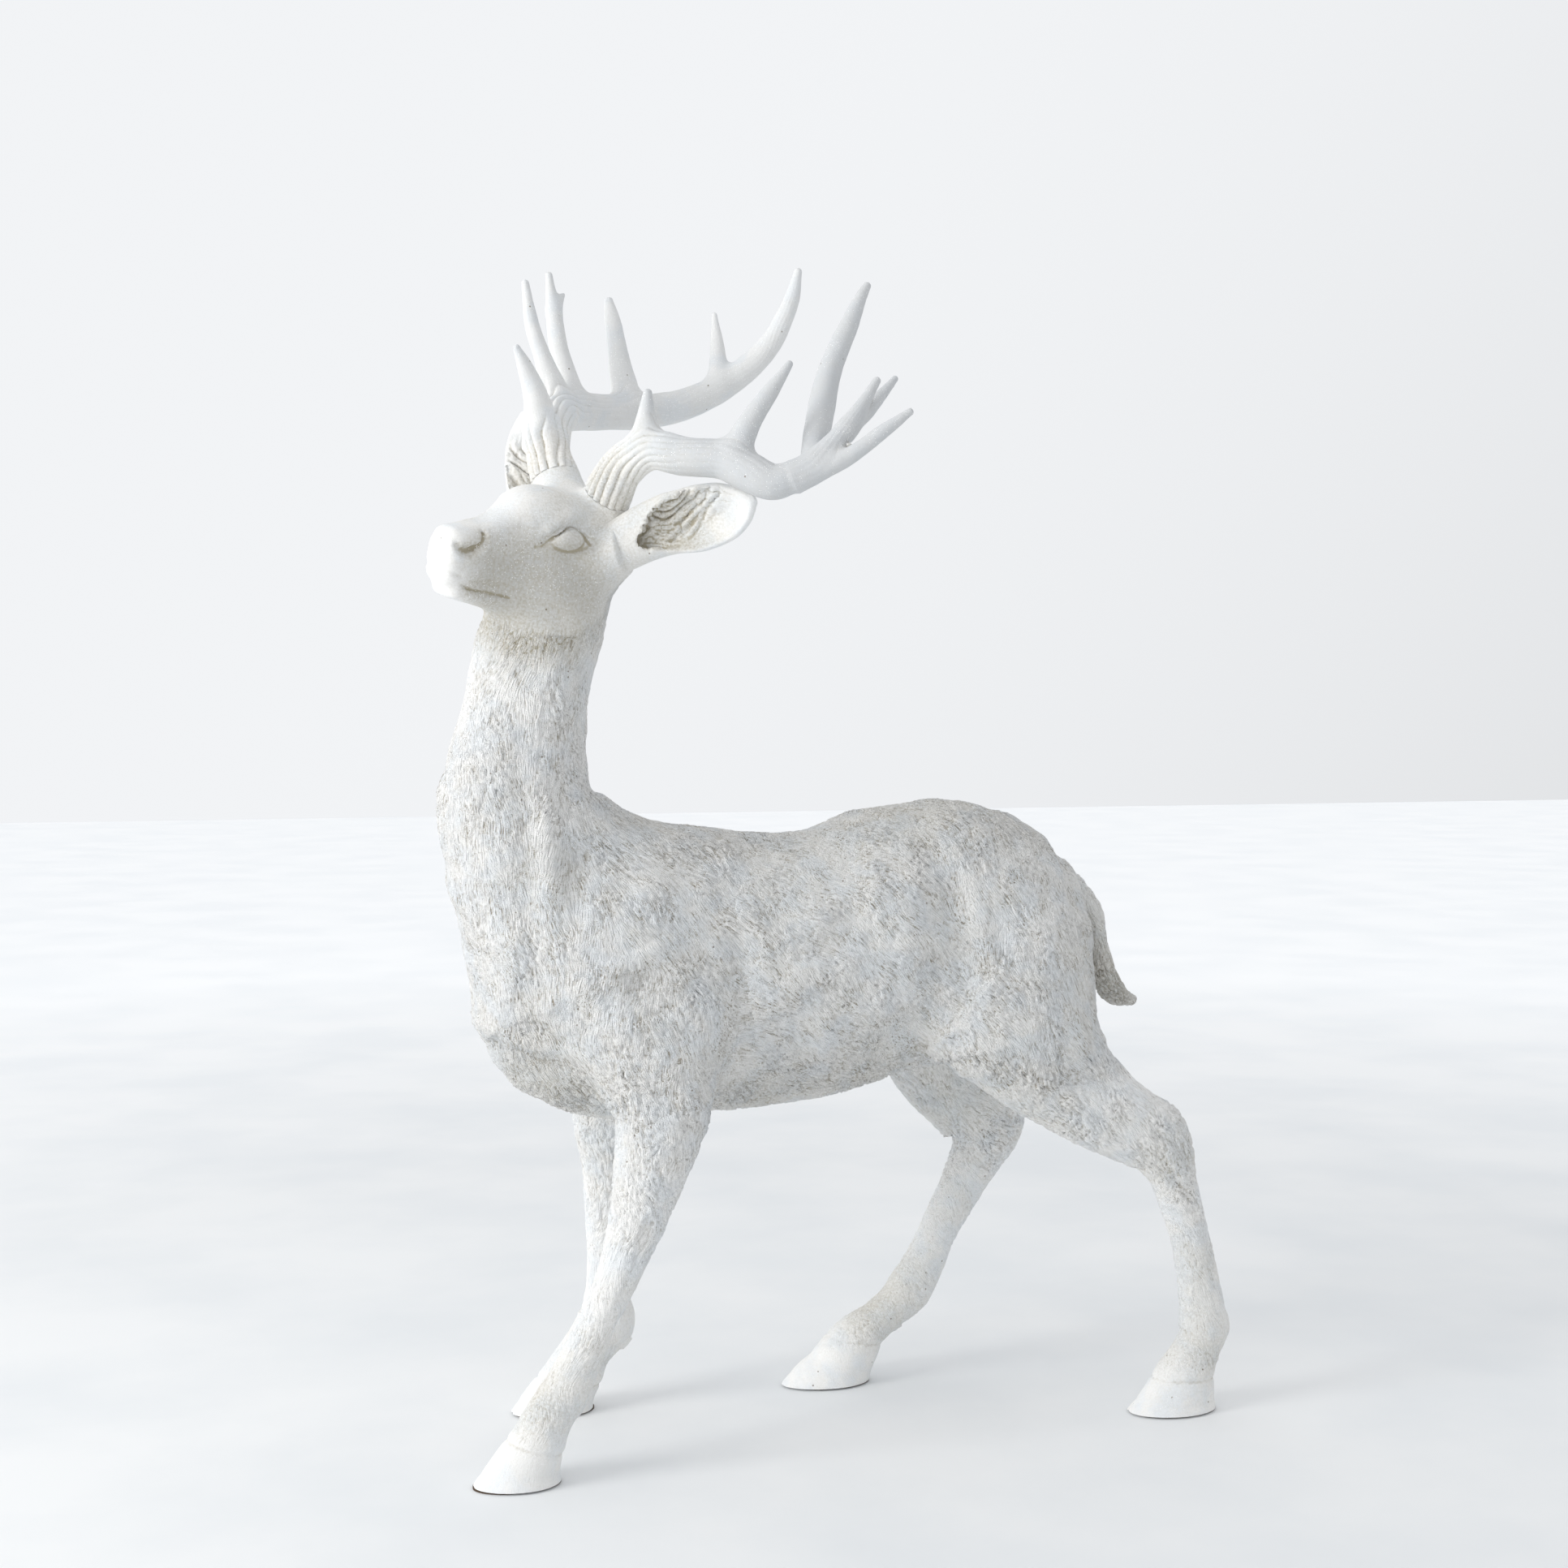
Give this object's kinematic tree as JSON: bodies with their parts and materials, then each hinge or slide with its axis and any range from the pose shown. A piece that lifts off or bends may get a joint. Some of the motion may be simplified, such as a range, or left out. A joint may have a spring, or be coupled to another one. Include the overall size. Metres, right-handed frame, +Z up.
{
  "type": "yard deer figure",
  "caption": "Standing stag yard figure in frosted white cast resin on a bent steel frame, head raised and turned to its left, with antlers that pull off their sockets.",
  "frame": {"origin": "on the floor, under the middle of the whole figure's box, between the four hooves", "axes": "+Z up; the stag faces -X; +Y is to its right, so its left side and the turned head look to -Y"},
  "size_m": [0.5628, 0.2625, 0.8179],
  "materials": {
    "body_resin": "matte",
    "antler_resin": "matte",
    "hoof_felt": "matte",
    "frame_steel": "satin",
    "peg_steel": "satin",
    "dowel_wood": "matte"
  },
  "bodies": {
    "figure": {"body_shell": "body_resin", "head_casting": "body_resin", "tail": "body_resin", "left_ear": "body_resin", "right_ear": "body_resin", "left_fore_leg": "body_resin", "right_fore_leg": "body_resin", "left_hind_leg": "body_resin", "right_hind_leg": "body_resin", "left_fore_pad": "hoof_felt", "right_fore_pad": "hoof_felt", "left_hind_pad": "hoof_felt", "right_hind_pad": "hoof_felt", "left_fore_rod": "frame_steel", "right_fore_rod": "frame_steel", "left_hind_rod": "frame_steel", "right_hind_rod": "frame_steel", "neck_rod": "frame_steel", "fore_cross_bar": "frame_steel", "hind_cross_bar": "frame_steel", "spine_bar": "frame_steel", "left_ear_dowel": "dowel_wood", "right_ear_dowel": "dowel_wood", "tail_dowel": "dowel_wood", "left_antler_socket": "peg_steel", "right_antler_socket": "peg_steel"},
    "left_antler": {"left_antler": "antler_resin", "left_antler_peg": "peg_steel"},
    "right_antler": {"right_antler": "antler_resin", "right_antler_peg": "peg_steel"}
  },
  "joints": [
    {"name": "left_antler_pull", "type": "slide", "parent": "figure", "child": "left_antler", "axis": [0.3029, -0.6058, 0.7357], "range_m": [0, 0.03]},
    {"name": "right_antler_pull", "type": "slide", "parent": "figure", "child": "right_antler", "axis": [-0.1355, 0.4066, 0.9035], "range_m": [0, 0.03]}
  ]
}
